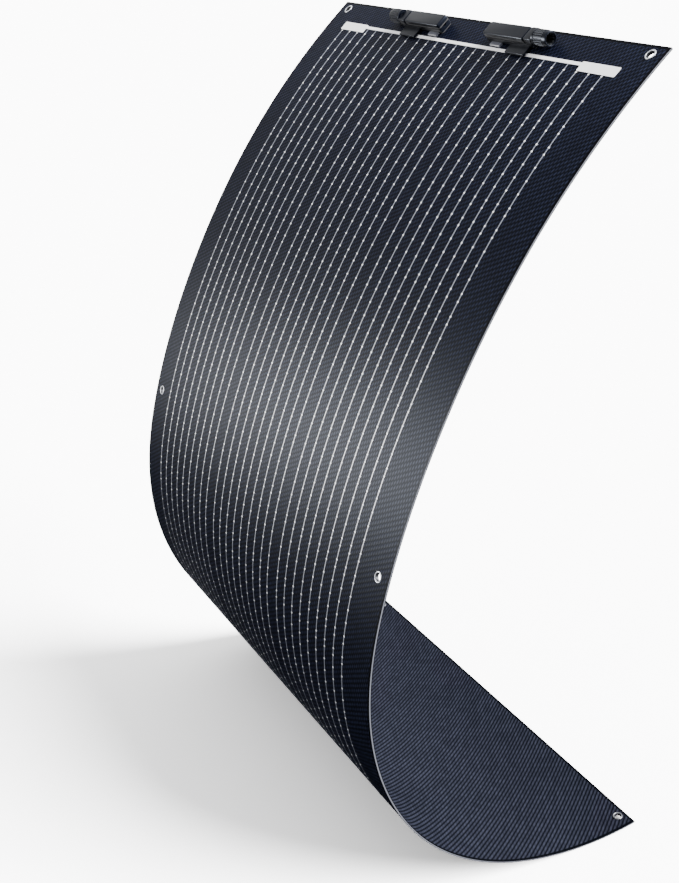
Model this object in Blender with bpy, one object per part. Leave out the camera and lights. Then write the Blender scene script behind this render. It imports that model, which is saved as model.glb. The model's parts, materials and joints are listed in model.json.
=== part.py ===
"""Flexible solar sheet: a bent laminate of ten stiff strips with two low junction boxes.

The sheet hangs from its top edge. Seen along +Y its profile is a C that opens to +X: it runs
down and out to -X, turns under in a tighter curl and ends as a flap that lies almost level.
The cell side is the outer, convex side. One or two rows of cells make a stiff strip of laminate,
and the sheet bends at the narrow gaps between the strips.

Frame: origin on the middle of the line through the two top eyelets, in the middle of the
laminate. +X is the side the C opens to, +Y runs along the width, +Z is up. Metres.

Each strip has an empty on its upper bend axis. In an empty's own frame +X runs down the sheet,
+Y across it, and -Z points out of the cell side, so a height h over the front is at z = -h.
"""

import math

import bmesh
import bpy
from mathutils import Matrix, Vector

# ---- the sheet ----------------------------------------------------------------------------
WIDTH = 0.551
TOP_MARGIN = 0.0248          # top edge to the first row of cells
ROW_PITCH = 0.0802           # a half-cut cell and its gap
END_MARGIN = 0.0246          # last row of cells to the lower edge
TOP_LEAN = math.radians(-138.9)   # way down the sheet at its top edge, from +X towards +Z

# The strips from the top down: rows of cells in each, and how far it turns the sheet, in degrees.
# Strips are short where the bend is tight.
STRIPS = ((2, 13.1), (2, 10.0), (2, 9.4), (1, 10.3), (1, 15.5), (1, 16.9), (1, 19.6),
          (1, 19.0), (1, 15.5), (1, 18.4))
FACETS_PER_ROW = 4           # flat facets along one row

SIDES = ((-1, "right"), (1, "left"))
LAMINATE = 0.0025            # front film to back sheet
FRONT = LAMINATE / 2         # height of the front face over the laminate's middle
FILM_THICK = 0.0005
BACK_THICK = 0.0011
AIR = 0.0003                 # clearance between pieces that touch on the real sheet
BEND_SLOT = 0.0010           # slot between two strips

# ---- cells and the ribbons inside the laminate --------------------------------------------
CELL_COLUMNS = 3
COLUMN_PITCH = 0.1605        # a cell's width and its gap
CELL_GAP = 0.0018
CELLS_HALF_WIDTH = (CELL_COLUMNS * COLUMN_PITCH - CELL_GAP) / 2
CELL_THICK = 0.0003
CELL_BOTTOM = 0.00015        # underside of the cells over the laminate's middle
RIBBON_WIDE = 0.005
RIBBON_FROM_CELLS = 0.0035   # cross ribbon to the first or the last row of cells

# ---- white cover strip and its two end labels, stuck on the front --------------------------
COVER_FROM_TOP = 0.0286
COVER_WIDE = 0.0034
LABEL_FROM_TOP = 0.0272
LABEL_WIDE = 0.0102
LABEL_LONG = 0.0505
LABEL_OUTER_END = 0.2395     # from the sheet's centre line
TAPE_THICK = 0.0003

# ---- eyelets --------------------------------------------------------------------------------
EYELET_INSET = 0.0165        # from the long edges
EYELET_TOP = 0.0100          # from the top edge
EYELET_MIDDLE = 0.4978
EYELET_LOWER = 0.0100        # from the lower edge
EYELET_BORE = 0.0036         # radii
EYELET_TUBE = 0.0040
EYELET_RIM = 0.0052
WASHER_BORE = 0.0043
SHEET_HOLE = 0.0044
EYELET_PLATE = 0.0005        # thickness of the rim, the washer and the rolled end
ROUND_SIDES = 20
SHARP_EDGE = math.radians(35)     # edges that bend more than this stay sharp

# ---- junction boxes, one on each side of the centre line -----------------------------------
BOX_INNER_END = 0.0405       # from the centre line
BOX_LONG = 0.0765
BOX_FROM_TOP = 0.0085        # from the top edge
BOX_DEEP = 0.0150
BOX_CORNER = 0.0022
BOX_EDGE = 0.0010            # bevel along the upper edges
POCKET_CORNER = 0.0010       # corner radius inside the walls
LEAST_CORNER = 0.0004
STEP = 0.0002                # small step where two mouldings of the base meet
GASKET_INSET = 0.0004
BOX_HIGH = 0.0118            # over the sheet's front face
PAD_THICK = 0.0006
PAD_INSET = 0.0010
WALL = 0.0016
RIM_HIGH = 0.0062            # top of the base's low walls
GASKET_THICK = 0.0008
END_BLOCK = 0.0120           # solid block at the outer end that carries the gland
TONGUE_LONG = 0.030
TONGUE_OUT = 0.0105          # how far the tongue reaches over the cover strip
TONGUE_HIGH = 0.0032
TONGUE_FROM_END = 0.0070
GLAND_AXIS = 0.0079          # height over the front face
GLAND_THREAD = 0.0057        # radii
GLAND_BORE = 0.0030
SEAL_SEAT = 0.0049           # wider bore in the socket, where the seal sits
SOCKET_LONG = 0.0090
SOCKET_ROOT = 0.0030         # how deep the socket is rooted in the end block
NUT_OUTER = 0.0075
NUT_INNER = 0.0060
NUT_MOUTH = 0.0054
NUT_LONG = 0.0205
NUT_WALL = 0.0040
NUT_NOSE = 0.0020            # length of the tapered nose
NUT_TAPER = 0.0008
NUT_RIBS = 12
NUT_RIB_DEEP = 0.0005
SEAL_OUTER = 0.0046
SEAL_BORE = 0.00298
SEAL_LONG = 0.0085
DIODE_RADIUS = 0.0015
DIODE_LONG = 0.0090
DIODE_FROM_END = 0.0085      # it lies across the tray, near the box's inner end
DIODE_SIDES = 12

STRIP_ROWS = [rows for rows, _ in STRIPS]
STRIP_LENGTHS = [rows * ROW_PITCH for rows in STRIP_ROWS]
STRIP_LENGTHS[0] += TOP_MARGIN
STRIP_LENGTHS[-1] += END_MARGIN
STRIP_BENDS = [math.radians(turn) / length for (_, turn), length in zip(STRIPS, STRIP_LENGTHS)]


# ---- scene, materials and small helpers -----------------------------------------------------
def clear_scene():
    for thing in list(bpy.data.objects):
        bpy.data.objects.remove(thing, do_unlink=True)


def material(name, colour, roughness, metallic=0.0):
    made = bpy.data.materials.new(name)
    made.use_nodes = True
    shader = made.node_tree.nodes["Principled BSDF"]
    shader.inputs["Base Color"].default_value = (*colour, 1.0)
    shader.inputs["Roughness"].default_value = roughness
    shader.inputs["Metallic"].default_value = metallic
    return made


def add_object(name, mesh, parent, look):
    mesh.materials.append(look)
    thing = bpy.data.objects.new(name, mesh)
    bpy.context.scene.collection.objects.link(thing)
    thing.parent = parent
    return thing


def add_empty(name, parent, matrix):
    empty = bpy.data.objects.new(name, None)
    empty.empty_display_size = 0.02
    bpy.context.scene.collection.objects.link(empty)
    empty.parent = parent
    empty.matrix_local = matrix
    return empty


def mesh_from(name, shape):
    """Turn a finished bmesh into a mesh with its faces pointing out."""
    bmesh.ops.recalc_face_normals(shape, faces=shape.faces)
    mesh = bpy.data.meshes.new(name)
    shape.to_mesh(mesh)
    shape.free()
    return mesh


# ---- the bent strips -------------------------------------------------------------------------
def on_arc(strip, distance, height):
    """Point of a strip, in its own frame, a distance down it and a height over its middle."""
    bend = STRIP_BENDS[strip]
    radius = 1 / bend + height
    return radius * math.sin(bend * distance), 1 / bend - radius * math.cos(bend * distance)


def arc_frame(strip, distance):
    """Frame that lies on a strip's middle, with +X down the sheet and -Z out of its front."""
    x, z = on_arc(strip, distance, 0.0)
    turn = Matrix.Rotation(-STRIP_BENDS[strip] * distance, 4, "Y")
    return Matrix.Translation((x, 0.0, z)) @ turn


def bent_plate(name, strip, parent, look, reach, half_width, low, high, facets):
    """Closed plate over a reach down a strip, between two heights over its middle."""
    start, end = reach
    shape = bmesh.new()
    rings = []
    for step in range(facets + 1):
        distance = start + (end - start) * step / facets
        ring = []
        for side, height in ((-1, low), (1, low), (1, high), (-1, high)):
            x, z = on_arc(strip, distance, height)
            ring.append(shape.verts.new((x, side * half_width, z)))
        rings.append(ring)
    for ring, following in zip(rings, rings[1:]):
        for corner in range(4):
            after = (corner + 1) % 4
            shape.faces.new((ring[corner], ring[after], following[after], following[corner]))
    shape.faces.new(rings[0])
    shape.faces.new(rings[-1])
    return add_object(name, mesh_from(name, shape), parent, look)


def build_strip(strip, parent, looks):
    """Back sheet, layer of cells and front film of one strip."""
    tag = f"{strip + 1:02d}"
    facets = FACETS_PER_ROW * STRIP_ROWS[strip]
    length = STRIP_LENGTHS[strip]
    start = 0.0 if strip == 0 else BEND_SLOT / 2
    end = length if strip == len(STRIPS) - 1 else length - BEND_SLOT / 2
    back = bent_plate(f"back_sheet_{tag}", strip, parent, looks["back"], (start, end),
                      WIDTH / 2, -FRONT, -FRONT + BACK_THICK, facets)
    film = bent_plate(f"front_film_{tag}", strip, parent, looks["film"], (start, end),
                      WIDTH / 2, FRONT - FILM_THICK, FRONT, facets)
    first = TOP_MARGIN if strip == 0 else 0.0
    cells = (first + CELL_GAP / 2, first + STRIP_ROWS[strip] * ROW_PITCH - CELL_GAP / 2)
    bent_plate(f"cell_layer_{tag}", strip, parent, looks["cell"], cells, CELLS_HALF_WIDTH,
               CELL_BOTTOM, CELL_BOTTOM + CELL_THICK, facets)
    return back, film


def build_chain(looks):
    """The strips, each hung from the one above it on an empty at their common bend."""
    top = Matrix.Rotation(-TOP_LEAN, 4, "Y")
    hang = top @ arc_frame(0, EYELET_TOP)
    place = Matrix.Translation(-hang.translation) @ top
    empties = []
    laminates = []
    parent = None
    for strip, length in enumerate(STRIP_LENGTHS):
        parent = add_empty(f"bend_{strip + 1:02d}", parent, place)
        empties.append(parent)
        laminates.append(build_strip(strip, parent, looks))
        place = arc_frame(strip, length)
    return empties, laminates


# ---- ribbons and cover tape ---------------------------------------------------------------------
def build_ribbons(empties, looks):
    """A flat cross ribbon at each end of the columns, in the plane of the cells."""
    low = CELL_BOTTOM
    high = low + CELL_THICK
    end = TOP_MARGIN - RIBBON_FROM_CELLS
    bent_plate("cross_ribbon_top", 0, empties[0], looks["copper"], (end - RIBBON_WIDE, end),
               CELLS_HALF_WIDTH, low, high, 1)
    start = ROW_PITCH + RIBBON_FROM_CELLS
    bent_plate("cross_ribbon_lower", len(STRIPS) - 1, empties[-1], looks["copper"],
               (start, start + RIBBON_WIDE), CELLS_HALF_WIDTH, low, high, 1)


def build_tape(top, looks):
    """White strip across the sheet that widens into a label at each end."""
    low = FRONT + AIR
    high = low + TAPE_THICK
    strip_end = COVER_FROM_TOP + COVER_WIDE
    label_end = LABEL_FROM_TOP + LABEL_WIDE
    inner = LABEL_OUTER_END - LABEL_LONG
    outline = [(LABEL_FROM_TOP, inner), (LABEL_FROM_TOP, LABEL_OUTER_END),
               (label_end, LABEL_OUTER_END), (label_end, inner),
               (strip_end, inner), (strip_end, -inner), (label_end, -inner),
               (label_end, -LABEL_OUTER_END), (LABEL_FROM_TOP, -LABEL_OUTER_END),
               (LABEL_FROM_TOP, -inner), (COVER_FROM_TOP, -inner), (COVER_FROM_TOP, inner)]
    shape = bmesh.new()
    layers = []
    for height in (low, high):
        layer = []
        for distance, side in outline:
            x, z = on_arc(0, distance, height)
            layer.append(shape.verts.new((x, side, z)))
        layers.append(layer)
    lower, upper = layers
    for corner, point in enumerate(lower):
        after = (corner + 1) % len(outline)
        shape.faces.new((point, lower[after], upper[after], upper[corner]))
    shape.faces.new(lower)
    shape.faces.new(upper)
    bmesh.ops.triangulate(shape, faces=shape.faces)
    add_object("cover_tape", mesh_from("cover_tape", shape), top, looks["white"])


# ---- turned pieces -----------------------------------------------------------------------------
def add_turned(shape, profile, matrix, sides=ROUND_SIDES, ribs=0, rib_deep=0.0):
    """Closed ring turned about the frame's Z axis from a closed (radius, z) outline.

    With ribs, the outermost points step in and out by rib_deep from side to side.
    """
    outermost = max(radius for radius, _ in profile)
    rings = []
    for step in range(sides):
        angle = 2 * math.pi * step / sides
        sunk = rib_deep if ribs and (step * ribs * 2 // sides) % 2 else 0.0
        ring = []
        for radius, z in profile:
            reach = radius - sunk if radius == outermost else radius
            point = Vector((reach * math.cos(angle), reach * math.sin(angle), z))
            ring.append(shape.verts.new(matrix @ point))
        rings.append(ring)
    count = len(profile)
    for step, ring in enumerate(rings):
        following = rings[(step + 1) % sides]
        for corner in range(count):
            after = (corner + 1) % count
            shape.faces.new((ring[corner], ring[after], following[after], following[corner]))


def turned_object(name, parent, look, profile, matrix, **options):
    shape = bmesh.new()
    add_turned(shape, profile, matrix, **options)
    mesh = mesh_from(name, shape)
    mesh.shade_smooth()
    mesh.set_sharp_from_angle(angle=SHARP_EDGE)
    return add_object(name, mesh, parent, look)


# ---- eyelets -------------------------------------------------------------------------------------
def eyelet_profiles():
    """Outlines of the eyelet and of its washer, with z growing towards the back."""
    front = -FRONT - AIR
    back = FRONT + AIR
    rolled = back + EYELET_PLATE + AIR
    eyelet = [(EYELET_BORE, front - EYELET_PLATE), (EYELET_RIM, front - EYELET_PLATE),
              (EYELET_RIM, front), (EYELET_TUBE, front),
              (EYELET_TUBE, rolled), (EYELET_RIM, rolled),
              (EYELET_RIM, rolled + EYELET_PLATE), (EYELET_BORE, rolled + EYELET_PLATE)]
    washer = [(WASHER_BORE, back), (EYELET_RIM, back),
              (EYELET_RIM, back + EYELET_PLATE), (WASHER_BORE, back + EYELET_PLATE)]
    return eyelet, washer


def round_cutter(name, parent, look, radius, start, end, matrix):
    """Hidden solid cylinder on a frame's Z axis."""
    shape = bmesh.new()
    place = matrix @ Matrix.Translation((0.0, 0.0, (start + end) / 2))
    bmesh.ops.create_cone(shape, cap_ends=True, segments=ROUND_SIDES, radius1=radius,
                          radius2=radius, depth=end - start, matrix=place)
    return hidden(add_object(name, mesh_from(name, shape), parent, look))


def hidden(cutter):
    cutter.hide_render = True
    cutter.display_type = "WIRE"
    return cutter


def use_cutter(target, cutter, operation):
    step = target.modifiers.new(cutter.name, "BOOLEAN")
    step.operation = operation
    step.solver = "EXACT"
    step.object = cutter


def build_eyelets(empties, laminates, looks):
    """A pair of eyelets and washers at three stations, and the holes for them."""
    middle_strip = 0
    middle = EYELET_MIDDLE
    while middle > STRIP_LENGTHS[middle_strip]:
        middle -= STRIP_LENGTHS[middle_strip]
        middle_strip += 1
    stations = (("top", 0, EYELET_TOP), ("middle", middle_strip, middle),
                ("lower", len(STRIPS) - 1, STRIP_LENGTHS[-1] - EYELET_LOWER))
    eyelet, washer = eyelet_profiles()
    for name, strip, distance in stations:
        parent = empties[strip]
        for side, word in SIDES:
            across = side * (WIDTH / 2 - EYELET_INSET)
            place = arc_frame(strip, distance) @ Matrix.Translation((0.0, across, 0.0))
            turned_object(f"eyelet_{name}_{word}", parent, looks["steel"], eyelet, place)
            turned_object(f"washer_{name}_{word}", parent, looks["dull"], washer, place)
            cutter = round_cutter(f"hole_cutter_{name}_{word}", parent, looks["steel"],
                                  SHEET_HOLE, -LAMINATE, LAMINATE, place)
            for laminate in laminates[strip]:
                use_cutter(laminate, cutter, "DIFFERENCE")


# ---- junction boxes --------------------------------------------------------------------------------
# A box frame has +X down the sheet, +Y away from the centre line and +Z out of the front, with
# its origin on the sheet's front face where the box's inner end meets its upper side.
def rounded_rectangle(x0, x1, y0, y1, radius, steps=3):
    """Corner points of a rectangle with round corners, counter-clockwise."""
    if radius <= 0:
        return [(x0, y0), (x1, y0), (x1, y1), (x0, y1)]
    points = []
    corners = ((x1 - radius, y0 + radius, -90), (x1 - radius, y1 - radius, 0),
               (x0 + radius, y1 - radius, 90), (x0 + radius, y0 + radius, 180))
    for x, y, first in corners:
        for step in range(steps + 1):
            angle = math.radians(first + 90 * step / steps)
            points.append((x + radius * math.cos(angle), y + radius * math.sin(angle)))
    return points


def add_layers(shape, layers, matrix, closed_loop=False):
    """Skin over outlines of equal length, each with its height, closed at both ends.

    A closed loop joins the last layer to the first, which makes a ring and needs no ends.
    """
    rings = [[shape.verts.new(matrix @ Vector((x, y, z))) for x, y in outline]
             for outline, z in layers]
    pairs = list(zip(rings, rings[1:]))
    if closed_loop:
        pairs.append((rings[-1], rings[0]))
    for lower, upper in pairs:
        for corner in range(len(lower)):
            after = (corner + 1) % len(lower)
            shape.faces.new((lower[corner], lower[after], upper[after], upper[corner]))
    if not closed_loop:
        shape.faces.new(rings[0])
        shape.faces.new(rings[-1])


def inset_outline(inset, end=BOX_LONG, start=0.0):
    radius = max(BOX_CORNER - inset, LEAST_CORNER)
    return rounded_rectangle(inset, BOX_DEEP - inset, start + inset, end - inset, radius)


def layered_object(name, parent, look, layers, matrix, closed_loop=False):
    shape = bmesh.new()
    add_layers(shape, layers, matrix, closed_loop)
    return add_object(name, mesh_from(name, shape), parent, look)


BASE_BOTTOM = AIR + PAD_THICK + AIR
BASE_FLOOR = BASE_BOTTOM + WALL
LID_BOTTOM = RIM_HIGH + AIR + GASKET_THICK + AIR
TRAY_LONG = BOX_LONG - END_BLOCK
LID_LONG = TRAY_LONG - AIR


def gland_frame(box):
    """Frame on the gland's axis at the end block's face, with +Z along the way out."""
    place = Matrix.Translation((BOX_DEEP / 2, BOX_LONG, GLAND_AXIS))
    return box @ place @ Matrix.Rotation(math.radians(-90), 4, "X")


def build_base(side, parent, box, looks):
    """Tray with a solid end block, a tongue over the cover strip and the gland's socket."""
    outer = inset_outline(0.0)
    pocket = rounded_rectangle(WALL, BOX_DEEP - WALL, WALL, TRAY_LONG - WALL, POCKET_CORNER)
    ring = [(outer, BASE_BOTTOM), (outer, RIM_HIGH), (pocket, RIM_HIGH), (pocket, BASE_FLOOR)]
    base = layered_object(f"box_base_{side}", parent, looks["box"], ring, box)
    block_end = rounded_rectangle(STEP, BOX_DEEP - STEP, TRAY_LONG, BOX_LONG - STEP, BOX_CORNER)
    soft = STEP + BOX_EDGE
    block_top = rounded_rectangle(soft, BOX_DEEP - soft, TRAY_LONG + BOX_EDGE, BOX_LONG - soft,
                                  BOX_CORNER - BOX_EDGE)
    block = [(block_end, RIM_HIGH - WALL / 2), (block_end, BOX_HIGH - BOX_EDGE),
             (block_top, BOX_HIGH)]
    end = BOX_LONG - TONGUE_FROM_END
    inside = BOX_DEEP - WALL / 2
    outside = BOX_DEEP + TONGUE_OUT
    tongue_low = rounded_rectangle(inside, outside, end - TONGUE_LONG, end, 2 * BOX_EDGE)
    tongue_top = rounded_rectangle(inside, outside - BOX_EDGE, end - TONGUE_LONG + BOX_EDGE,
                                   end - BOX_EDGE, BOX_EDGE)
    tongue_layers = [(tongue_low, BASE_BOTTOM + STEP), (tongue_low, TONGUE_HIGH - BOX_EDGE),
                     (tongue_top, TONGUE_HIGH)]
    for word, layers in (("block", block), ("tongue", tongue_layers)):
        piece = layered_object(f"{word}_{side}", parent, looks["box"], layers, box)
        use_cutter(base, hidden(piece), "UNION")
    gland = gland_frame(box)
    socket = round_cutter(f"socket_{side}", parent, looks["box"], GLAND_THREAD,
                          -SOCKET_ROOT, SOCKET_LONG, gland)
    use_cutter(base, socket, "UNION")
    bore = round_cutter(f"bore_{side}", parent, looks["box"], GLAND_BORE,
                        -END_BLOCK - 2 * WALL, 2 * SOCKET_LONG, gland)
    use_cutter(base, bore, "DIFFERENCE")
    seat = round_cutter(f"seat_{side}", parent, looks["box"], SEAL_SEAT,
                        SOCKET_LONG - SEAL_LONG - AIR, 2 * SOCKET_LONG, gland)
    use_cutter(base, seat, "DIFFERENCE")


def end_cutter(name, parent, look, low, high, box):
    """Hidden block that opens a ring's outer end, where the end block closes the box."""
    across = rounded_rectangle(WALL, BOX_DEEP - WALL, LID_LONG - 2 * WALL, LID_LONG + WALL, 0.0)
    return hidden(layered_object(name, parent, look, [(across, low), (across, high)], box))


def build_lid(side, parent, box, looks):
    """Shell with a roof and three walls; its open end butts against the end block."""
    outer = inset_outline(0.0, LID_LONG)
    soft = inset_outline(BOX_EDGE, LID_LONG)
    pocket = rounded_rectangle(WALL, BOX_DEEP - WALL, WALL, LID_LONG - WALL, POCKET_CORNER)
    roof = BOX_HIGH - WALL
    shell = [(pocket, roof), (pocket, LID_BOTTOM), (outer, LID_BOTTOM),
             (outer, BOX_HIGH - BOX_EDGE), (soft, BOX_HIGH)]
    lid = layered_object(f"box_lid_{side}", parent, looks["box"], shell, box)
    opening = end_cutter(f"lid_end_{side}", parent, looks["box"], LID_BOTTOM - WALL,
                         roof - STEP, box)
    use_cutter(lid, opening, "DIFFERENCE")


def build_nut(side, parent, box, looks):
    start = AIR
    outline = [(NUT_INNER, start), (NUT_OUTER, start), (NUT_OUTER, NUT_LONG - NUT_NOSE),
               (NUT_OUTER - NUT_TAPER, NUT_LONG), (NUT_MOUTH, NUT_LONG),
               (NUT_MOUTH, NUT_LONG - NUT_WALL), (NUT_INNER, NUT_LONG - NUT_WALL)]
    turned_object(f"gland_nut_{side}", parent, looks["box"], outline, gland_frame(box),
                  sides=2 * NUT_RIBS, ribs=NUT_RIBS, rib_deep=NUT_RIB_DEEP)


def build_box_inside(side, parent, box, looks):
    """Adhesive pad, lid gasket, cable seal and the bypass diode that lies in the tray."""
    pad = inset_outline(PAD_INSET)
    layered_object(f"box_pad_{side}", parent, looks["foam"],
                   [(pad, AIR), (pad, AIR + PAD_THICK)], box)
    outer = inset_outline(GASKET_INSET, LID_LONG)
    inner = rounded_rectangle(WALL, BOX_DEEP - WALL, WALL, LID_LONG - WALL, POCKET_CORNER)
    low = RIM_HIGH + AIR
    high = low + GASKET_THICK
    ring = [(inner, low), (outer, low), (outer, high), (inner, high)]
    gasket = layered_object(f"lid_gasket_{side}", parent, looks["rubber"], ring, box,
                            closed_loop=True)
    opening = end_cutter(f"gasket_end_{side}", parent, looks["rubber"], low - WALL,
                         high + WALL, box)
    use_cutter(gasket, opening, "DIFFERENCE")
    start = SOCKET_LONG - SEAL_LONG
    seal = [(SEAL_BORE, start), (SEAL_OUTER, start),
            (SEAL_OUTER, SOCKET_LONG), (SEAL_BORE, SOCKET_LONG)]
    turned_object(f"gland_seal_{side}", parent, looks["rubber"], seal, gland_frame(box))
    lying = Matrix.Rotation(math.radians(90), 4, "Y")
    height = BASE_FLOOR + AIR + DIODE_RADIUS
    place = Matrix.Translation((BOX_DEEP / 2, DIODE_FROM_END, height)) @ lying
    shape = bmesh.new()
    bmesh.ops.create_cone(shape, cap_ends=True, segments=DIODE_SIDES, radius1=DIODE_RADIUS,
                          radius2=DIODE_RADIUS, depth=DIODE_LONG, matrix=box @ place)
    add_object(f"bypass_diode_{side}", mesh_from("diode", shape), parent, looks["diode"])


def build_boxes(top, looks):
    flat = arc_frame(0, BOX_FROM_TOP + BOX_DEEP / 2)
    for side, word in SIDES:
        away = Matrix(((1, 0, 0, 0), (0, side, 0, 0), (0, 0, -1, 0), (0, 0, 0, 1)))
        corner = Matrix.Translation((-BOX_DEEP / 2, side * BOX_INNER_END, -FRONT))
        box = flat @ corner @ away
        build_base(word, top, box, looks)
        build_lid(word, top, box, looks)
        build_nut(word, top, box, looks)
        build_box_inside(word, top, box, looks)


def main():
    clear_scene()
    looks = {
        "film": material("front film", (0.012, 0.013, 0.022), 0.32),
        "back": material("back sheet", (0.016, 0.017, 0.024), 0.45),
        "cell": material("silicon cell", (0.010, 0.011, 0.020), 0.25, 0.3),
        "copper": material("tinned copper", (0.72, 0.70, 0.66), 0.35, 1.0),
        "white": material("white tape", (0.86, 0.87, 0.88), 0.5),
        "steel": material("bright steel", (0.80, 0.81, 0.83), 0.25, 1.0),
        "dull": material("dull steel", (0.45, 0.46, 0.48), 0.4, 1.0),
        "box": material("black housing", (0.010, 0.011, 0.014), 0.35),
        "rubber": material("black rubber", (0.015, 0.015, 0.016), 0.8),
        "foam": material("adhesive foam", (0.03, 0.03, 0.032), 0.9),
        "diode": material("diode body", (0.02, 0.02, 0.02), 0.4),
    }
    empties, laminates = build_chain(looks)
    build_ribbons(empties, looks)
    build_tape(empties[0], looks)
    build_eyelets(empties, laminates, looks)
    build_boxes(empties[0], looks)


main()
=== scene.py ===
# %% [markdown]
# # A flexible solar sheet, held by its top edge
#
# A flexible solar sheet is a thin laminate: a tough woven-look film, a layer of cells joined by
# flat ribbons, and a back sheet. It has no frame. Two low junction boxes sit at its top edge,
# one on each side of the middle, and six eyelets take the screws or ties that hold it.
#
# The working model is loaded first and never changed. Everything made here is placed by it:
# the hinges between the sheet's strips give the bend, and the boxes' own corners give the rest.

# %% Load the working model
import json
import math

import bmesh
import bpy
import numpy as np
from mathutils import Matrix, Vector


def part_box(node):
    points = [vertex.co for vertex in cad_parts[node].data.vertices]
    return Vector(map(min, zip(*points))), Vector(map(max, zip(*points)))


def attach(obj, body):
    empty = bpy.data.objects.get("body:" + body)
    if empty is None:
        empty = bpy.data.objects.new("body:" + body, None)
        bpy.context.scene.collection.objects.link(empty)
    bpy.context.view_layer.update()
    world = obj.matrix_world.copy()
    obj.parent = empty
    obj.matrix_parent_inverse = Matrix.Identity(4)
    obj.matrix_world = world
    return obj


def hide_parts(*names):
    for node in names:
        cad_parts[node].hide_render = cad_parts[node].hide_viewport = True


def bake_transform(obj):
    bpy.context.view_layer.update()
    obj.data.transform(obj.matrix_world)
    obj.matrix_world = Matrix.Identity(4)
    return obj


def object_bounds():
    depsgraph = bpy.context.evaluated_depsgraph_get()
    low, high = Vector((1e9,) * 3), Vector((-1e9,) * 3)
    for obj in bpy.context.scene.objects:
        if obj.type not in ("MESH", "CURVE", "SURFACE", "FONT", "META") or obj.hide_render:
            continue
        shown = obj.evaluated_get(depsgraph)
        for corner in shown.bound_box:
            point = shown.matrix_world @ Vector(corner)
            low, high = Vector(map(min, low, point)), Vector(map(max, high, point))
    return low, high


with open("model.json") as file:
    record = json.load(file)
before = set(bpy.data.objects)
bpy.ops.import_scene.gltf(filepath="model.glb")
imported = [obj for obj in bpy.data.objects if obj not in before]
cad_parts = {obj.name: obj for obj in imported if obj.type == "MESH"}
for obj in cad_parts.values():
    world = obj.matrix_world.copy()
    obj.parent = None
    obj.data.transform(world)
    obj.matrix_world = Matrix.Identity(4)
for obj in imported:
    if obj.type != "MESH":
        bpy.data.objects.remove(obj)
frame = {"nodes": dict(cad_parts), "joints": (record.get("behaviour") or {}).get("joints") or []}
cad_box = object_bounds()
joints = {joint["name"]: joint for joint in frame["joints"]}
bends = [joint for joint in frame["joints"] if joint["name"].startswith("bend_")]

# %% [markdown]
# ## The line that the sheet follows
#
# Seen from the side, the sheet is one smooth curve. The working model bends at hinges between
# stiff strips, so its hinges lie on that curve like beads on a wire. A cubic spline through the
# top edge, the hinges and the lower edge gives the curve back without a kink anywhere. Its end
# stretches keep a constant bend, which is what a springy sheet does near a free end.

# %% Points on the sheet's middle
SIDES = ((-1, "right"), (1, "left"))
EDGE_LEAN = 0.05             # a little sideways, so that one corner of an edge is furthest


def corner_point(node, direction):
    """The point of a working node furthest in a direction, moved to the middle of the width."""
    points = [vertex.co for vertex in frame["nodes"][node].data.vertices]
    found = max(points, key=lambda point: point.dot(direction))
    return Vector((found.x, 0, found.z))


hinges = [Vector(joint["pos_m"]) for joint in bends]
STRIPS = len(hinges) + 1
half_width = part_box("front_film_01")[1].y
front_normal = Vector(joints["lid_lift_right"]["axis"]).normalized()
up_the_sheet = Vector((-front_normal.z, 0, front_normal.x)) * -1
film_edge = corner_point("front_film_01", up_the_sheet + EDGE_LEAN * front_normal)
back_edge = corner_point("back_sheet_01", up_the_sheet - EDGE_LEAN * front_normal)
top_edge = (film_edge + back_edge) / 2
last = f"{STRIPS:02d}"
film_end = corner_point(f"front_film_{last}", Vector((1, 0, -EDGE_LEAN)))
back_end = corner_point(f"back_sheet_{last}", Vector((1, 0, EDGE_LEAN)))
low_edge = (film_end + back_end) / 2
knots = np.array([[point.x, point.z] for point in (top_edge, *hinges, low_edge)])
print("top edge", top_edge, "lower edge", low_edge, "half width", round(half_width, 4))

# %% A cubic spline through them
PROFILE_STEP = 0.001
FINE_POINTS = 4000


def spline_slopes(params, values):
    """Slopes at the knots of a cubic spline whose end stretches are plain parabolas."""
    count = len(params)
    gaps = np.diff(params)
    rises = np.diff(values, axis=0) / gaps[:, None]
    matrix = np.zeros((count, count))
    right = np.zeros((count, values.shape[1]))
    matrix[0, :2] = 1
    right[0] = 2 * rises[0]
    matrix[-1, -2:] = 1
    right[-1] = 2 * rises[-1]
    for row in range(1, count - 1):
        before, after = gaps[row - 1], gaps[row]
        matrix[row, row - 1:row + 2] = after, 2 * (before + after), before
        right[row] = 3 * (after * rises[row - 1] + before * rises[row])
    return np.linalg.solve(matrix, right)


def spline_points(params, values, wanted):
    """Points of the spline at the wanted values of its parameter."""
    slopes = spline_slopes(params, values)
    piece = np.clip(np.searchsorted(params, wanted) - 1, 0, len(params) - 2)
    gap = (params[piece + 1] - params[piece])[:, None]
    t = (wanted[:, None] - params[piece][:, None]) / gap
    start, end = values[piece], values[piece + 1]
    return ((2 * t ** 3 - 3 * t ** 2 + 1) * start + (t ** 3 - 2 * t ** 2 + t) * gap * slopes[piece]
            + (3 * t ** 2 - 2 * t ** 3) * end + (t ** 3 - t ** 2) * gap * slopes[piece + 1])


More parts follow.
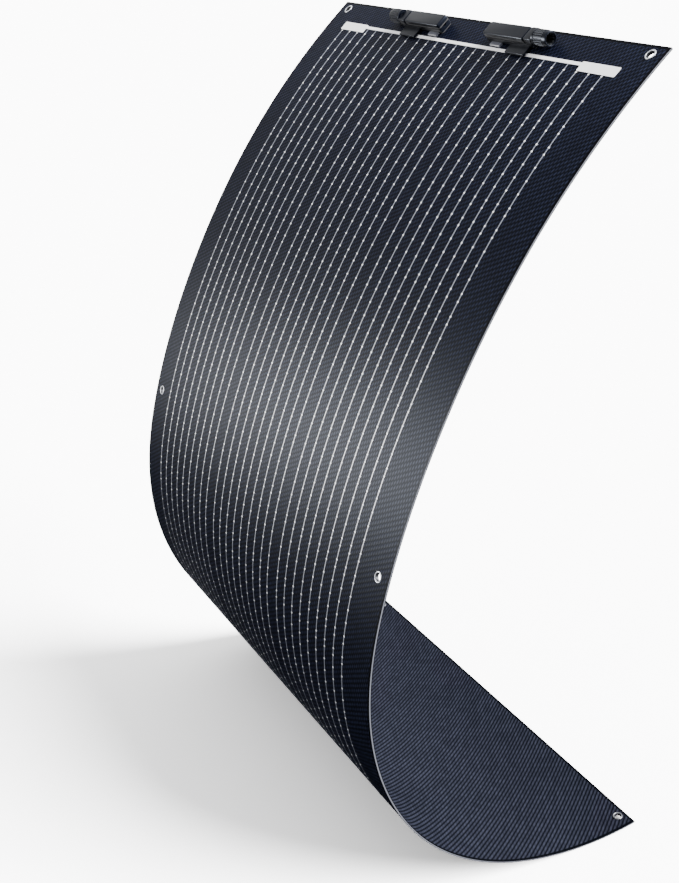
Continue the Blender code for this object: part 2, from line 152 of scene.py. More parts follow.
chords = np.concatenate([[0], np.cumsum(np.linalg.norm(np.diff(knots, axis=0), axis=1))])
fine = spline_points(chords, knots, np.linspace(0, chords[-1], FINE_POINTS))
walked = np.concatenate([[0], np.cumsum(np.linalg.norm(np.diff(fine, axis=0), axis=1))])
LENGTH = float(walked[-1])
stations = np.linspace(0, LENGTH, round(LENGTH / PROFILE_STEP) + 1)
profile = np.stack([np.interp(stations, walked, fine[:, axis]) for axis in (0, 1)], axis=1)
nearest = [int(np.argmin(np.linalg.norm(fine - knot, axis=1))) for knot in knots]
knot_at = [float(walked[index]) for index in nearest]
print("flat length", round(LENGTH, 4), "hinges at", [round(s, 4) for s in knot_at])


def profile_at(distance):
    return [float(np.interp(distance, stations, profile[:, axis])) for axis in (0, 1)]


def sheet_frame(distance, across, height=0.0):
    """Place on the sheet: +X down it, +Y along the width, +Z out of the cell side."""
    x, z = profile_at(distance)
    ahead = profile_at(distance + PROFILE_STEP / 2)
    behind = profile_at(distance - PROFILE_STEP / 2)
    down = Vector((ahead[0] - behind[0], 0, ahead[1] - behind[1])).normalized()
    out = Vector((0, 1, 0)).cross(down)
    place = Matrix((down, (0, 1, 0), out)).transposed().to_4x4()
    place.translation = Vector((x, across, z)) + out * height
    return place


# %% [markdown]
# ## Camera, floor and light
#
# The camera comes before the pieces, so that every look at the work is from the same place. It
# stands to the near side of the sheet, a little above its top edge, and looks down on it. The
# floor is pale and plain, and it lies just under the lowest point of the curl.

# %% Camera
CAMERA_FROM_EDGE = Vector((-0.719, -1.082, 0.1106))
CAMERA_PITCH = 24.83      # degrees below level
CAMERA_HEADING = 59.88    # degrees from +X towards +Y
LENS, SENSOR = 67.02, 36  # mm
LENS_SHIFT = (-0.0891, 0.0568)
FARTHEST_SEEN = 200


def add_object(name, data):
    made = bpy.data.objects.new(name, data)
    bpy.context.scene.collection.objects.link(made)
    return made


camera_data = bpy.data.cameras.new("camera")
camera_data.lens = LENS
camera_data.sensor_width = SENSOR
camera_data.sensor_fit = "HORIZONTAL"
camera_data.shift_x, camera_data.shift_y = LENS_SHIFT
camera_data.clip_end = FARTHEST_SEEN
camera = add_object("camera", camera_data)
camera.location = top_edge + CAMERA_FROM_EDGE
camera.rotation_euler = [math.radians(angle)
                         for angle in (90 - CAMERA_PITCH, 0, CAMERA_HEADING - 90)]
bpy.context.scene.camera = camera
print("camera at", [round(value, 3) for value in camera.location])

# %% [markdown]
# The same small helper fills in every node tree below, for shaders and for shapes alike. It adds
# a node, sets its options, and then gives each input either a value or a link.

# %% A helper for node trees


def add_node(tree, kind, inputs=None, **options):
    made = tree.nodes.new(kind)
    for name, value in options.items():
        setattr(made, name, value)
    for key, value in (inputs or {}).items():
        if isinstance(value, bpy.types.NodeSocket):
            tree.links.new(value, made.inputs[key])
        else:
            made.inputs[key].default_value = value
    return made


def maths(tree, operation, *values):
    """Output of a Math node, for shaders and for shapes."""
    inputs = dict(enumerate(values))
    return add_node(tree, "ShaderNodeMath", inputs, operation=operation).outputs[0]


def xyz(tree, x=0.0, y=0.0, z=0.0):
    """Output of a node that puts three numbers together."""
    return add_node(tree, "ShaderNodeCombineXYZ", {0: x, 1: y, 2: z}).outputs[0]


def parts_of(tree, vector):
    """The X, Y and Z outputs of a node that takes a vector apart."""
    return add_node(tree, "ShaderNodeSeparateXYZ", {0: vector}).outputs


def new_group(name, kind, inputs, outputs):
    """An empty node group, and its inputs and outputs by name."""
    group = bpy.data.node_groups.new(name, kind)
    for label, sort, default in inputs:
        socket = group.interface.new_socket(label, in_out="INPUT",
                                            socket_type="NodeSocket" + sort)
        if default is not None:
            socket.default_value = default
    for label, sort in outputs:
        group.interface.new_socket(label, in_out="OUTPUT", socket_type="NodeSocket" + sort)
    start = group.nodes.new("NodeGroupInput")
    end = group.nodes.new("NodeGroupOutput")
    return group, start.outputs, end.inputs


def new_material(name, **settings):
    """A material with its Principled shader; plain settings go on the shader's own sockets."""
    made = bpy.data.materials.new(name)
    made.use_nodes = True
    shader = made.node_tree.nodes["Principled BSDF"]
    for label, value in settings.items():
        shader.inputs[label.replace("_", " ")].default_value = value
    return made, made.node_tree, shader


def mix_colours(tree, share, first, second):
    made = add_node(tree, "ShaderNodeMix", {0: share, 6: first, 7: second}, data_type="RGBA")
    return made.outputs[2]


# %% Floor
# The camera sees a bright floor, but the light that the floor sends up to the sheet is weak, so
# a mix by the kind of ray gives each its own tone.
FLOOR_GAP = 0.0006
FLOOR_HALF = 60.0

floor_look, tree, shader = new_material("pale floor")
tree.nodes.remove(shader)
speckle = add_node(tree, "ShaderNodeTexNoise", {"Scale": 3.0, "Detail": 3.0})
seen_tone = mix_colours(tree, speckle.outputs["Fac"], (1.5, 1.5, 1.51, 1), (1.55, 1.55, 1.55, 1))
bounced = add_node(tree, "ShaderNodeBsdfDiffuse", {"Color": (0.02, 0.02, 0.024, 1)})
seen = add_node(tree, "ShaderNodeBsdfDiffuse", {"Color": seen_tone})
direct = add_node(tree, "ShaderNodeLightPath").outputs["Is Camera Ray"]
floor_mix = add_node(tree, "ShaderNodeMixShader", {0: direct, 1: bounced.outputs[0],
                                                   2: seen.outputs[0]})
tree.links.new(floor_mix.outputs[0], tree.nodes["Material Output"].inputs["Surface"])
floor_mesh = bpy.data.meshes.new("floor")
corners = [(x * FLOOR_HALF, y * FLOOR_HALF, 0) for x, y in ((-1, -1), (1, -1), (1, 1), (-1, 1))]
floor_mesh.from_pydata(corners, [], [(0, 1, 2, 3)])
floor_mesh.materials.append(floor_look)
floor = add_object("floor", floor_mesh)
floor.location.z = cad_box[0].z - FLOOR_GAP
print("floor at", round(floor.location.z, 4))

# %% Light
# A white room lights the sheet from all sides. One soft box on the far left puts the broad
# grey sheen on the middle of the bend, and a wide soft sun above on the right throws the pale
# shadow to the left.
ROOM_STRENGTH, SUN_STRENGTH, SUN_WIDTH = 1.7, 30.0, math.radians(38)
SUN_FROM = Vector((0.80, -1.0, 0.95))
BULGE_AT = 0.44              # distance down the sheet of the middle of the sheen
SHEEN_WAY, SHEEN_FAR = Vector((-0.565, 0.80, -0.06)), 1.9
SHEEN_ASIDE = Vector((0, -0.58, 0.22))
SHEEN_SIZE, SHEEN_POWER = (0.8, 0.5), 115

world = bpy.data.worlds.new("studio")
world.use_nodes = True
world.node_tree.nodes["Background"].inputs["Color"].default_value = (1.0, 1.0, 1.0, 1)
world.node_tree.nodes["Background"].inputs["Strength"].default_value = ROOM_STRENGTH
bpy.context.scene.world = world


bulge = sheet_frame(BULGE_AT, 0.0).translation
sheen = add_object("sheen box", bpy.data.lights.new("sheen box", "AREA"))
sheen.data.shape = "RECTANGLE"
sheen.data.size, sheen.data.size_y = SHEEN_SIZE
sheen.data.energy = SHEEN_POWER
sheen.location = bulge + SHEEN_FAR * SHEEN_WAY.normalized() + SHEEN_ASIDE
sheen.rotation_euler = (bulge - sheen.location).to_track_quat("-Z", "Y").to_euler()
sheen.visible_diffuse = False    # it only shows in the gloss
key = add_object("key", bpy.data.lights.new("key", "SUN"))
key.data.energy = SUN_STRENGTH
key.data.angle = SUN_WIDTH
key.rotation_euler = SUN_FROM.to_track_quat("Z", "Y").to_euler()

# %% [markdown]
# ## Shared finishes
#
# Two effects come back in many materials, so each is a node group with its own inputs.
# The first is the woven look of a twill: slanting ribs, each a chain of short leaning floats,
# with every rib half a float out of step with the next. Its tone is partly the weave's own pattern
# and partly painted light: a painted highlight along each float's crown and painted shade at the
# partings between floats. The second is a fine uneven grain, used
# for moulded plastic, rubber, metal and tape.

# %% The woven look
twill, given, result = new_group(
    "twill", "ShaderNodeTree",
    [("Place", "Vector", None), ("Rib pitch", "Float", 0.0043),
     ("Float length", "Float", 0.0040), ("Slant", "Float", 0.43),
     ("Lean", "Float", 1.0), ("Parting", "Float", 1.0),
     ("Narrowing", "Float", 1.0)],
    [("Crown highlight", "Float"), ("Height", "Float"), ("Tone", "Float")])
down, across, _ = parts_of(twill, given["Place"])
slanted = maths(twill, "MULTIPLY_ADD", down, given["Slant"], across)
ribs = maths(twill, "DIVIDE", slanted, given["Rib pitch"])
rib = maths(twill, "FLOOR", ribs)
in_rib = maths(twill, "FRACT", ribs)
leaning = maths(twill, "MULTIPLY", in_rib, given["Lean"])
floats = maths(twill, "SUBTRACT", maths(twill, "DIVIDE", down, given["Float length"]), leaning)
floats = maths(twill, "MULTIPLY_ADD", rib, 0.5, floats)
crown_across = maths(twill, "SINE", maths(twill, "MULTIPLY", in_rib, math.pi))
crown_along = maths(twill, "SINE", maths(twill, "MULTIPLY", maths(twill, "FRACT", floats),
                                         math.pi))
# Painted shade: each float's colour darkens towards its two ends, at the partings.
parting_shade = maths(twill, "MULTIPLY_ADD", maths(twill, "SUBTRACT", maths(
    twill, "POWER", crown_along, 2.2), 1.0), given["Parting"], 1.0)
# Painted highlight: this output is lighter along the middle of each float; only the height output
# goes to the bump.
crown_highlight = maths(twill, "MULTIPLY", maths(twill, "POWER", crown_across,
                                       given["Narrowing"]), parting_shade)
height = maths(twill, "MULTIPLY", crown_across, crown_along)
which_float = xyz(twill, rib, maths(twill, "FLOOR", floats))
fleck = add_node(twill, "ShaderNodeTexWhiteNoise", {"Vector": which_float},
                 noise_dimensions="3D")
twill.links.new(crown_highlight, result["Crown highlight"])
twill.links.new(height, result["Height"])
twill.links.new(fleck.outputs["Value"], result["Tone"])

# %% Fine grain
BLOTCHES_PER_METRE = 60.0
WEAR_OVER, WEAR_GAIN = 0.45, 2.0     # the part of the broad noise that counts as worn
ROUGHNESS_SPREAD = 0.12

grain, given, result = new_group(
    "grain", "ShaderNodeTree",
    [("Place", "Vector", None), ("Colour", "Color", (0.5, 0.5, 0.5, 1)),
     ("Worn colour", "Color", (0.6, 0.6, 0.6, 1)),
     ("Grains per metre", "Float", 2500.0), ("Roughness", "Float", 0.4)],
    [("Colour", "Color"), ("Roughness", "Float"),
     ("Height", "Float")])
fine_noise = add_node(grain, "ShaderNodeTexNoise", {
    "Vector": given["Place"], "Scale": given["Grains per metre"], "Detail": 3.0})
broad_noise = add_node(grain, "ShaderNodeTexNoise", {
    "Vector": given["Place"], "Scale": BLOTCHES_PER_METRE, "Detail": 4.0})
worn = maths(grain, "MULTIPLY", maths(grain, "SUBTRACT", broad_noise.outputs["Fac"], WEAR_OVER),
             WEAR_GAIN)
worn_share = add_node(grain, "ShaderNodeClamp", {"Value": worn}).outputs[0]
tinted = mix_colours(grain, worn_share, given["Colour"], given["Worn colour"])
rough = maths(grain, "ADD", given["Roughness"],
              maths(grain, "MULTIPLY", maths(grain, "SUBTRACT", fine_noise.outputs["Fac"], 0.5),
                    ROUGHNESS_SPREAD))
grain.links.new(tinted, result["Colour"])
grain.links.new(rough, result["Roughness"])
grain.links.new(fine_noise.outputs["Fac"], result["Height"])


def dress(tree, shader, colour, roughness, height, depth):
    """Give a Principled shader a colour, a roughness and a bump of this depth in metres."""
    bump = add_node(tree, "ShaderNodeBump", {"Strength": 1.0, "Distance": depth,
                                             "Height": height})
    tree.links.new(colour, shader.inputs["Base Color"])
    tree.links.new(roughness, shader.inputs["Roughness"])
    tree.links.new(bump.outputs["Normal"], shader.inputs["Normal"])


def grainy(name, colour, worn_colour, roughness, grains=2500.0, depth=0.00002, **settings):
    """A material with the shared grain, read from the piece's own coordinates."""
    made, tree, shader = new_material(name, **settings)
    place = add_node(tree, "ShaderNodeTexCoord").outputs["Object"]
    look = add_node(tree, "ShaderNodeGroup", {
        "Place": place, "Colour": (*colour, 1), "Worn colour": (*worn_colour, 1),
        "Grains per metre": grains, "Roughness": roughness}, node_tree=grain).outputs
    dress(tree, shader, look["Colour"], look["Roughness"], look["Height"], depth)
    return made


print("groups", [group.name for group in bpy.data.node_groups])

# %% The sheet's two faces
SHEET_MAP = "sheet_place"
PLAIN_BORDER = 0.0028        # pressed flat along every edge, where no ribs show
CLOUDS_PER_METRE = 14.0      # the weave's tone drifts slowly over the sheet
CROWN_GLOSS = 0.10           # a float's crown is this much smoother than its sides


def woven(name, dark, crown_highlight_colour, weave_sizes, roughness, depth, **settings):
    """Woven film or back sheet; its pattern follows the sheet's own flat map, in metres."""
    made, tree, shader = new_material(name, **settings)
    place = add_node(tree, "ShaderNodeUVMap", uv_map=SHEET_MAP).outputs["UV"]
    weave = add_node(tree, "ShaderNodeGroup", {"Place": place, **weave_sizes},
                     node_tree=twill).outputs
    clouds = add_node(tree, "ShaderNodeTexNoise", {
        "Vector": place, "Scale": CLOUDS_PER_METRE, "Detail": 4.0})
    vary = maths(tree, "MULTIPLY_ADD", clouds.outputs["Fac"], 0.5, 0.75)
    thread = maths(tree, "MULTIPLY_ADD", weave["Tone"], 0.35, 0.65)
    share = maths(tree, "MULTIPLY", maths(tree, "MULTIPLY", weave["Crown highlight"], vary), thread)
    spot = parts_of(tree, place)
    for axis, middle, reach in (("Y", 0.0, half_width), ("X", LENGTH / 2, LENGTH / 2)):
        away = maths(tree, "ABSOLUTE", maths(tree, "SUBTRACT", spot[axis], middle))
        inside = maths(tree, "LESS_THAN", away, reach - PLAIN_BORDER)
        share = maths(tree, "MULTIPLY", share, inside)
    # Partly the weave's pattern, partly painted light: the lighter colour is a painted highlight
    # on the float crowns, and the dark colour also serves as painted shade at the partings.
    tone = mix_colours(tree, share, (*dark, 1), (*crown_highlight_colour, 1))
    gloss = maths(tree, "MULTIPLY_ADD", weave["Height"], -CROWN_GLOSS, roughness + 0.08)
    dress(tree, shader, tone, gloss, weave["Height"], depth)
    return made


FILM_WEAVE = {"Rib pitch": 0.0043, "Float length": 0.0040, "Slant": 0.43, "Lean": 1.0,
              "Parting": 1.0, "Narrowing": 0.7}
BACK_WEAVE = {"Rib pitch": 0.0048, "Float length": 0.0070, "Slant": -0.75, "Lean": 0.35,
              "Parting": 0.3, "Narrowing": 1.7}
COOL_TINT = (0.56, 0.70, 1.0, 1.0)

# In both weaves the lighter colour carries the painted highlight on the float crowns.
film_look = woven("woven front film", (0.0001, 0.0002, 0.0011), (0.0155, 0.0195, 0.0410),
                  FILM_WEAVE, 0.38, 0.00010, Specular_IOR_Level=0.018,
                  Specular_Tint=COOL_TINT)
back_look = woven("woven back sheet", (0.0001, 0.0002, 0.0007), (0.0125, 0.0138, 0.0215),
                  BACK_WEAVE, 0.55, 0.00015, Specular_IOR_Level=0.02,
                  Specular_Tint=COOL_TINT)
core_look = grainy("encapsulant edge", (0.050, 0.052, 0.062), (0.036, 0.038, 0.046), 0.5)
ribbon_look = grainy("tinned ribbon", (0.20, 0.215, 0.26), (0.16, 0.17, 0.21), 0.42)
solder_look = grainy("bright solder", (0.92, 0.93, 0.96), (0.84, 0.86, 0.90), 0.35)
print("materials", len(bpy.data.materials))

# %% [markdown]
# ## The laminate
#
# Film, cells and back sheet all follow the same curve, so each is first made flat, where lengths
# are easy, and then wrapped on the curve. Geometry Nodes do both in one tree. The wrap reads a
# flat point as a distance down the sheet (x), a place across it (y) and a height over its
# middle (z), looks up the curve at that distance, and moves the point there.
#
# The real laminate bends all along its length, but the working model turns at its hinges. So
# each layer is made in spans that run from the middle of one strip to the middle of the next,
# and each span bends smoothly over the one hinge in its middle.

# %% The guide curve
guide_data = bpy.data.curves.new("guide", "CURVE")
guide_data.dimensions = "3D"
line = guide_data.splines.new("POLY")
line.points.add(len(profile) - 1)
for point, (x, z) in zip(line.points, profile):
    point.co = (x, 0, z, 1)
guide = add_object("guide", guide_data)

# %% The wrap
wrap, given, result = new_group(
    "wrap on the bend", "GeometryNodeTree",
    [("Flat", "Geometry", None), ("Guide", "Object", None)],
    [("Wrapped", "Geometry")])
flat_place = add_node(wrap, "GeometryNodeInputPosition").outputs[0]
mapped = add_node(wrap, "GeometryNodeStoreNamedAttribute", {
    "Geometry": given["Flat"], "Name": SHEET_MAP, "Value": flat_place},
    data_type="FLOAT2", domain="CORNER")
curve = add_node(wrap, "GeometryNodeObjectInfo", {"Object": given["Guide"]})
station, aside, lift = parts_of(wrap, flat_place)
reader = add_node(wrap, "GeometryNodeSampleCurve", {
    "Curves": curve.outputs["Geometry"], "Length": station}, mode="LENGTH")
out_way = add_node(wrap, "ShaderNodeVectorMath", {
    0: (0, 1, 0), 1: reader.outputs["Tangent"]}, operation="CROSS_PRODUCT")
out_way = add_node(wrap, "ShaderNodeVectorMath", {0: out_way.outputs[0]}, operation="NORMALIZE")
raised = add_node(wrap, "ShaderNodeVectorMath", {
    0: out_way.outputs[0], "Scale": lift}, operation="SCALE")
offset = add_node(wrap, "ShaderNodeVectorMath", {
    0: raised.outputs[0], 1: xyz(wrap, 0.0, aside)}, operation="ADD")
moved = add_node(wrap, "ShaderNodeVectorMath", {
    0: reader.outputs["Position"], 1: offset.outputs[0]}, operation="ADD")
placed = add_node(wrap, "GeometryNodeSetPosition", {
    "Geometry": mapped.outputs[0], "Position": moved.outputs[0]})
wrap.links.new(placed.outputs[0], result["Wrapped"])

# %% How a tree becomes a plain mesh
SMOOTH_UNDER = math.radians(30)


def socket_id(tree, label):
    """Identifier of a tree's named input."""
    return next(item.identifier for item in tree.interface.items_tree
                if item.item_type == "SOCKET" and item.in_out == "INPUT" and item.name == label)


def grow(name, tree, values):
    """Run a tree with these inputs and return its result as an object with a plain mesh."""
    seed = add_object(name, bpy.data.meshes.new(name))
    modifier = seed.modifiers.new("grow", "NODES")
    modifier.node_group = tree
    for label, value in values.items():
        modifier[socket_id(tree, label)] = value
    seed.update_tag()
    graph = bpy.context.evaluated_depsgraph_get()
    mesh = bpy.data.meshes.new_from_object(seed.evaluated_get(graph))
    seed.modifiers.clear()
    seed.data = mesh
    mesh.name = name
    mesh.shade_smooth()
    mesh.set_sharp_from_angle(angle=SMOOTH_UNDER)
    return seed


def finish_tree(tree, given, result, geometry):
    """Realize, wrap on the bend and give the material: the end of every flat piece's tree."""
    solid = add_node(tree, "GeometryNodeRealizeInstances", {0: geometry})
    bent = add_node(tree, "GeometryNodeGroup", {
        "Flat": solid.outputs[0], "Guide": given["Guide"]}, node_tree=wrap)
    painted = add_node(tree, "GeometryNodeSetMaterial", {
        "Geometry": bent.outputs[0], "Material": given["Material"]})
    tree.links.new(painted.outputs[0], result[0])


def long_bar(tree, given, wide, across):
    """A flat bar from Start to End and from Low to High: its mesh, and its middle's x and z."""
    long = maths(tree, "SUBTRACT", given["End"], given["Start"])
    thick = maths(tree, "SUBTRACT", given["High"], given["Low"])
    steps = maths(tree, "ADD", maths(tree, "CEIL", maths(
        tree, "DIVIDE", long, given["Step"])), 1.0)
    bar = add_node(tree, "GeometryNodeMeshCube", {
        "Size": xyz(tree, long, wide, thick), "Vertices X": steps, "Vertices Y": across,
        "Vertices Z": 2})
    middles = [maths(tree, "MULTIPLY", maths(tree, "ADD", given[low], given[high]), 0.5)
               for low, high in (("Start", "End"), ("Low", "High"))]
    return bar.outputs["Mesh"], middles


# %% The tree for one layer
HOLE_RADIUS = 0.0044
NO_HOLE = 9.0                # a hole's place past the end of the sheet, where it cuts nothing
ACROSS = 9                   # points across a layer
LAYER_STEP = 0.0025          # length of a layer's faces down the sheet

SHARED_INPUTS = [("Guide", "Object", None), ("Material", "Material", None),
                 ("Start", "Float", 0.0), ("End", "Float", 0.1)]

layer, given, result = new_group(
    "laminate layer", "GeometryNodeTree",
    SHARED_INPUTS + [("Half width", "Float", 0.27), ("Low", "Float", 0.0),
                     ("High", "Float", 0.001), ("Step", "Float", 0.002),
                     ("Across", "Int", ACROSS), ("Hole station", "Float", NO_HOLE),
                     ("Hole inset", "Float", 0.0165),
                     ("Hole radius", "Float", HOLE_RADIUS)],
    [("Layer", "Geometry")])
slab, (middle_x, middle_z) = long_bar(
    layer, given, maths(layer, "MULTIPLY", given["Half width"], 2.0), given["Across"])
laid = add_node(layer, "GeometryNodeTransform", {
    "Geometry": slab, "Translation": xyz(layer, middle_x, 0.0, middle_z)})
drill = add_node(layer, "GeometryNodeMeshCylinder", {
    "Vertices": 40, "Radius": given["Hole radius"], "Depth": 0.01})
beside = maths(layer, "SUBTRACT", given["Half width"], given["Hole inset"])
cut = laid.outputs[0]
for side, _ in SIDES:
    spot = xyz(layer, given["Hole station"], maths(layer, "MULTIPLY", beside, side))
    tool = add_node(layer, "GeometryNodeTransform", {
        "Geometry": drill.outputs["Mesh"], "Translation": spot})
    made = add_node(layer, "GeometryNodeMeshBoolean", {0: cut, 1: tool.outputs[0]},
                    operation="DIFFERENCE")
    cut = made.outputs[0]
finish_tree(layer, given, result, cut)
print("layer tree has", len(layer.nodes), "nodes")

# %% [markdown]
# The layers' heights keep the laminate inside the working model's faces. The dark film and back
# sheet are thin, and the pale encapsulant between them shows as a light line along the cut edge.

# %% Spans and layers
BACK_LOW, BACK_HIGH, CORE_HIGH, FILM_HIGH = -0.00112, -0.00050, 0.00078, 0.00100
eyelet_low, eyelet_high = (corner.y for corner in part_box("eyelet_top_left"))
EYELET_INSET = half_width - eyelet_low / 2 - eyelet_high / 2
EYELET_RIM = (eyelet_high - eyelet_low) / 2
EYELET_CLEAR = 1.2           # a span's from point lies this many rims past an eyelet
strip_mids = [(knot_at[i] + knot_at[i + 1]) / 2 for i in range(STRIPS)]


def station_of(node):
    """Distance down the sheet of a round node's middle."""
    low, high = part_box(node)
    middle = np.array([(low.x + high.x) / 2, (low.z + high.z) / 2])
    return float(stations[int(np.argmin(np.linalg.norm(profile - middle, axis=1)))])


eyelet_at = {word: station_of(f"eyelet_{word}_left") for word in ("top", "middle", "lower")}
print("eyelets at", {word: round(s, 4) for word, s in eyelet_at.items()})

spans = []
for index in range(STRIPS - 1):
    start = 0.0 if index == 0 else strip_mids[index]
    end = LENGTH if index == STRIPS - 2 else strip_mids[index + 1]
    bend_from, bend_to = strip_mids[index], strip_mids[index + 1]
    for station in eyelet_at.values():
        if bend_from < station < knot_at[index + 1]:
            bend_from = station + EYELET_CLEAR * EYELET_RIM
    spans.append({"start": start, "end": end, "from": bend_from, "to": bend_to,
                  "bodies": (f"strip_{index + 1:02d}", f"strip_{index + 2:02d}"),
                  "tag": f"{index + 1:02d}", "index": index})


def bend_with_sheet(piece, span):
    """Bake a span piece's place into its mesh."""
    start = sheet_frame(span["from"], 0.0).translation
    end = sheet_frame(span["to"], 0.0).translation
    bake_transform(piece)


def span_nodes(span, *kinds):
    numbers = [span["index"] + 1]
    if span["index"] == STRIPS - 2:
        numbers.append(STRIPS)
    return [f"{kind}_{number:02d}" for kind in kinds for number in numbers]


def hole_in(span):
    found = [s for s in eyelet_at.values() if span["start"] <= s <= span["end"]]
    return found[0] if found else NO_HOLE


def lay_layer(word, span, low, high, look, slot_name, *kinds):
    piece = grow(f"{word}_{span['tag']}", layer, {
        "Guide": guide, "Material": look, "Start": span["start"], "End": span["end"],
        "Half width": half_width, "Low": low, "High": high, "Step": LAYER_STEP,
        "Hole station": hole_in(span), "Hole inset": EYELET_INSET, "Hole radius": HOLE_RADIUS,
        "Across": ACROSS})
    bend_with_sheet(piece, span)
    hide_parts(*span_nodes(span, *kinds))
    return piece


for span in spans:
    lay_layer("film", span, CORE_HIGH, FILM_HIGH, film_look, "woven_film", "front_film")
    lay_layer("encapsulant", span, BACK_HIGH, CORE_HIGH, core_look, "silicon_cell", "cell_layer")
    lay_layer("back", span, BACK_LOW, BACK_HIGH, back_look, "woven_back", "back_sheet")
print("spans", len(spans), "from", round(spans[0]["start"], 3), "to", round(spans[-1]["end"], 3))

# %% [markdown]
# ## Ribbons and solder pads
#
# Nine thin ribbons cross each column of cells and are soldered to every cell at pads, which
# catch the light as bright dots. The film is pressed over them, so they stand a little proud of
# it. One flat strand or one pad is made, and a tree sets it at every place where it belongs.

# %% Where the ribbons and pads are
TOP_MARGIN = 0.0248
ROW_PITCH = 0.0802
COLUMN_PITCH = 0.1605
LINE_PITCH = 0.0173
LINES_PER_COLUMN = 9
COLUMNS = 3
ARRAY_SHIFT = 0.0051         # the whole array sits this far towards the left edge
ROWS = round((LENGTH - 2 * TOP_MARGIN) / ROW_PITCH)
PAD_SHARES = (0.085, 0.174, 0.336, 0.499, 0.658, 0.824, 0.915)
LINE_WIDE, LINE_LOW, LINE_HIGH = 0.0011, 0.00090, 0.00110
PAD_WIDE, PAD_LONG, PAD_HIGH = 0.0023, 0.0026, 0.00122
LINE_START = 0.0320
MIDDLE_SHIFT = 0.08          # share of a row by which the middle column's pads lie lower

strand, given, result = new_group(
    "ribbons", "GeometryNodeTree",
    SHARED_INPUTS + [("Middle", "Float", 0.0), ("Pitch", "Float", LINE_PITCH),
                     ("Count", "Int", LINES_PER_COLUMN),
                     ("Wide", "Float", LINE_WIDE), ("Low", "Float", LINE_LOW),
                     ("High", "Float", LINE_HIGH), ("Step", "Float", 0.004)],
    [("Ribbons", "Geometry")])
bar, (middle_x, middle_z) = long_bar(strand, given, given["Wide"], 2)
first = maths(strand, "SUBTRACT", given["Middle"], maths(
    strand, "MULTIPLY", given["Pitch"], maths(
        strand, "MULTIPLY", maths(strand, "SUBTRACT", given["Count"], 1.0), 0.5)))
row = add_node(strand, "GeometryNodeMeshLine", {
    "Count": given["Count"], "Start Location": xyz(strand, middle_x, first, middle_z),
    "Offset": xyz(strand, 0.0, given["Pitch"])}, mode="OFFSET")
strands = add_node(strand, "GeometryNodeInstanceOnPoints", {
    "Points": row.outputs[0], "Instance": bar})
finish_tree(strand, given, result, strands.outputs[0])

# %% The tree for the pads
# A grid has one point for each ribbon of a column at each row of cells. Only its points in the
# span are kept, and each takes a flat dome. The share says how far down its cell a pad sits, so
# the tree runs once for each of the seven pads of a ribbon on a cell.
pads, given, result = new_group(
    "solder pads", "GeometryNodeTree",
    SHARED_INPUTS + [("Middle", "Float", 0.0), ("Pitch", "Float", LINE_PITCH),
                     ("Count", "Int", LINES_PER_COLUMN),
                     ("First row", "Float", TOP_MARGIN),
                     ("Row pitch", "Float", ROW_PITCH),
                     ("Rows", "Int", ROWS), ("Share", "Float", 0.5),
                     ("Wide", "Float", PAD_WIDE), ("Long", "Float", PAD_LONG),
                     ("Low", "Float", LINE_LOW), ("High", "Float", PAD_HIGH)],
    [("Pads", "Geometry")])
dome = add_node(pads, "GeometryNodeMeshUVSphere", {"Segments": 10, "Rings": 6, "Radius": 0.5})
dome_deep = maths(pads, "MULTIPLY", maths(pads, "SUBTRACT", given["High"], given["Low"]), 2.0)
shaped = add_node(pads, "GeometryNodeTransform", {
    "Geometry": dome.outputs["Mesh"],
    "Scale": xyz(pads, given["Long"], given["Wide"], dome_deep)})
down_size = maths(pads, "MULTIPLY", maths(pads, "SUBTRACT", given["Rows"], 1.0),
                  given["Row pitch"])
across_size = maths(pads, "MULTIPLY", maths(pads, "SUBTRACT", given["Count"], 1.0),
                    given["Pitch"])
field = add_node(pads, "GeometryNodeMeshGrid", {
    "Size X": down_size, "Size Y": across_size, "Vertices X": given["Rows"],
    "Vertices Y": given["Count"]})
field_x = maths(pads, "ADD", maths(pads, "ADD", given["First row"],
                                   maths(pads, "MULTIPLY", down_size, 0.5)),
                maths(pads, "MULTIPLY", given["Share"], given["Row pitch"]))
placed_field = add_node(pads, "GeometryNodeTransform", {
    "Geometry": field.outputs["Mesh"],
    "Translation": xyz(pads, field_x, given["Middle"], given["Low"])})
here = parts_of(pads, add_node(pads, "GeometryNodeInputPosition").outputs[0])["X"]
inside = maths(pads, "MULTIPLY", maths(pads, "GREATER_THAN", here, given["Start"]),
               maths(pads, "LESS_THAN", here, given["End"]))
kept = add_node(pads, "GeometryNodeSeparateGeometry", {
    "Geometry": placed_field.outputs[0], "Selection": inside}, domain="POINT")
dots = add_node(pads, "GeometryNodeInstanceOnPoints", {
    "Points": kept.outputs["Selection"], "Instance": shaped.outputs[0]})
finish_tree(pads, given, result, dots.outputs[0])
print("rows of cells", ROWS, "pads", ROWS * COLUMNS * LINES_PER_COLUMN * len(PAD_SHARES))


# %% Joining what belongs to one span
def join_pieces(name, parts):
    """One object out of several plain ones, all with their place in their mesh."""
    shape = bmesh.new()
    materials = []
    for part in parts:
        offset = len(materials)
        for material in part.data.materials:
            materials.append(material)
        before = len(shape.faces)
        shape.from_mesh(part.data)
        shape.faces.ensure_lookup_table()
        for face in shape.faces[before:]:
            face.material_index += offset
    mesh = bpy.data.meshes.new(name)
    shape.to_mesh(mesh)
    shape.free()
    used = list(dict.fromkeys(materials))
    order = [used.index(material) for material in materials]
    for material in used:
        mesh.materials.append(material)
    for face in mesh.polygons:
        face.material_index = order[face.material_index]
    for part in parts:
        bpy.data.objects.remove(part, do_unlink=True)
    return add_object(name, mesh)


